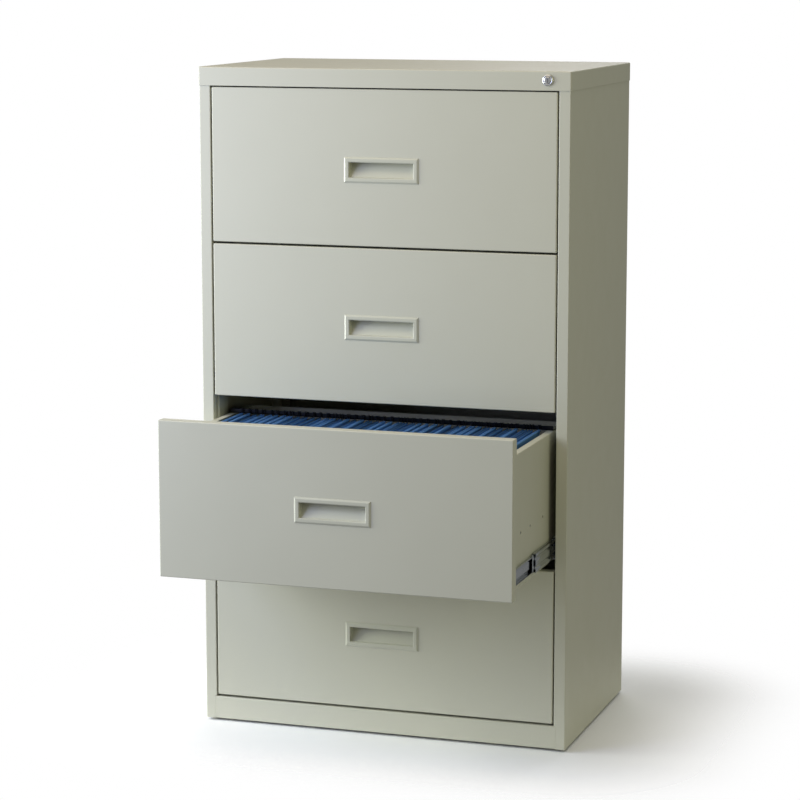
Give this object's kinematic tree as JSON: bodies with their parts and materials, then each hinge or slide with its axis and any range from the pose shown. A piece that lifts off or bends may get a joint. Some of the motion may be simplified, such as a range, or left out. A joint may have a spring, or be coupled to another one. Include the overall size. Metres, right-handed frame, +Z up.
{
  "type": "lateral file cabinet",
  "caption": "Steel lateral file cabinet with full-width drawers on telescopic slides, recessed pulls, a keyed lock and levelling glides; one drawer stands part way open.",
  "frame": {"origin": "middle of the bounding box's floor, with the third drawer open as it is at rest; Z is 0 under the levelling glides", "axes": "+Z up; +X to the right of a person who stands in front; the drawers open towards -Y"},
  "size_m": [0.762, 0.764, 1.3335],
  "materials": {
    "putty_painted_steel": "fine-texture powder coat, light putty grey, satin",
    "putty_moulded_plastic": "moulded in the case's colour, satin",
    "slide_zinc_steel": "bright zinc plate, lightly drawn",
    "zinc_plated_steel": "zinc plate, satin",
    "lock_chrome": "polished chrome plate",
    "blue_folder_card": "uncoated blue card"
  },
  "bodies": {
    "case": {"left_side_panel": "putty_painted_steel", "front_left_upright": "putty_painted_steel", "rear_left_upright": "putty_painted_steel", "right_side_panel": "putty_painted_steel", "front_right_upright": "putty_painted_steel", "rear_right_upright": "putty_painted_steel", "back_panel": "putty_painted_steel", "top_cap": "putty_painted_steel", "base_rail": "putty_painted_steel", "bottom_pan": "putty_painted_steel", "front_left_glide": "zinc_plated_steel", "front_right_glide": "zinc_plated_steel", "rear_left_glide": "zinc_plated_steel", "rear_right_glide": "zinc_plated_steel", "lock_housing": "lock_chrome", "drawer_1_left_slide_cabinet": "slide_zinc_steel", "drawer_1_right_slide_cabinet": "slide_zinc_steel", "drawer_2_left_slide_cabinet": "slide_zinc_steel", "drawer_2_right_slide_cabinet": "slide_zinc_steel", "drawer_3_left_slide_cabinet": "slide_zinc_steel", "drawer_3_right_slide_cabinet": "slide_zinc_steel", "drawer_4_left_slide_cabinet": "slide_zinc_steel", "drawer_4_right_slide_cabinet": "slide_zinc_steel"},
    "lock": {"lock_plug": "lock_chrome", "lock_cam": "zinc_plated_steel"},
    "lock_bar": {"lock_bar": "zinc_plated_steel"},
    "drawer_1": {"drawer_1_front": "putty_painted_steel", "drawer_1_pull": "putty_moulded_plastic", "drawer_1_tray": "putty_painted_steel", "drawer_1_file_bar": "zinc_plated_steel", "drawer_1_left_slide_drawer": "slide_zinc_steel", "drawer_1_right_slide_drawer": "slide_zinc_steel"},
    "drawer_1_carriage": {"drawer_1_left_slide_middle": "slide_zinc_steel", "drawer_1_right_slide_middle": "slide_zinc_steel"},
    "drawer_2": {"drawer_2_front": "putty_painted_steel", "drawer_2_pull": "putty_moulded_plastic", "drawer_2_tray": "putty_painted_steel", "drawer_2_file_bar": "zinc_plated_steel", "drawer_2_left_slide_drawer": "slide_zinc_steel", "drawer_2_right_slide_drawer": "slide_zinc_steel"},
    "drawer_2_carriage": {"drawer_2_left_slide_middle": "slide_zinc_steel", "drawer_2_right_slide_middle": "slide_zinc_steel"},
    "drawer_3": {"drawer_3_front": "putty_painted_steel", "drawer_3_pull": "putty_moulded_plastic", "drawer_3_tray": "putty_painted_steel", "drawer_3_file_bar": "zinc_plated_steel", "drawer_3_folders": "blue_folder_card", "drawer_3_left_slide_drawer": "slide_zinc_steel", "drawer_3_right_slide_drawer": "slide_zinc_steel"},
    "drawer_3_carriage": {"drawer_3_left_slide_middle": "slide_zinc_steel", "drawer_3_right_slide_middle": "slide_zinc_steel"},
    "drawer_4": {"drawer_4_front": "putty_painted_steel", "drawer_4_pull": "putty_moulded_plastic", "drawer_4_tray": "putty_painted_steel", "drawer_4_file_bar": "zinc_plated_steel", "drawer_4_left_slide_drawer": "slide_zinc_steel", "drawer_4_right_slide_drawer": "slide_zinc_steel"},
    "drawer_4_carriage": {"drawer_4_left_slide_middle": "slide_zinc_steel", "drawer_4_right_slide_middle": "slide_zinc_steel"}
  },
  "joints": [
    {"name": "drawer_1_slide", "type": "slide", "parent": "case", "child": "drawer_1", "axis": [0, -1, 0], "range_m": [0, 0.406]},
    {"name": "drawer_1_carriage_slide", "type": "slide", "parent": "case", "child": "drawer_1_carriage", "axis": [0, -1, 0], "range_m": [0, 0.203]},
    {"name": "drawer_2_slide", "type": "slide", "parent": "case", "child": "drawer_2", "axis": [0, -1, 0], "range_m": [0, 0.406]},
    {"name": "drawer_2_carriage_slide", "type": "slide", "parent": "case", "child": "drawer_2_carriage", "axis": [0, -1, 0], "range_m": [0, 0.203]},
    {"name": "drawer_3_slide", "type": "slide", "parent": "case", "child": "drawer_3", "axis": [0, -1, 0], "range_m": [-0.29, 0.116]},
    {"name": "drawer_3_carriage_slide", "type": "slide", "parent": "case", "child": "drawer_3_carriage", "axis": [0, -1, 0], "range_m": [-0.145, 0.058]},
    {"name": "drawer_4_slide", "type": "slide", "parent": "case", "child": "drawer_4", "axis": [0, -1, 0], "range_m": [0, 0.406]},
    {"name": "drawer_4_carriage_slide", "type": "slide", "parent": "case", "child": "drawer_4_carriage", "axis": [0, -1, 0], "range_m": [0, 0.203]},
    {"name": "lock_turn", "type": "hinge", "parent": "case", "child": "lock", "pos_m": [0.3346, -0.0897, 1.3161], "axis": [0, -1, 0], "range_deg": [0, 90]},
    {"name": "lock_bar_lift", "type": "slide", "parent": "case", "child": "lock_bar", "axis": [0, 0, 1], "range_m": [0, 0.01414]}
  ],
  "couplings": [
    {"joint": "drawer_1_carriage_slide", "follows": "drawer_1_slide", "ratio": 0.5},
    {"joint": "drawer_2_carriage_slide", "follows": "drawer_2_slide", "ratio": 0.5},
    {"joint": "drawer_3_carriage_slide", "follows": "drawer_3_slide", "ratio": 0.5},
    {"joint": "drawer_4_carriage_slide", "follows": "drawer_4_slide", "ratio": 0.5},
    {"joint": "lock_turn", "follows": "lock_bar_lift", "rad_per_m": 111.09}
  ]
}
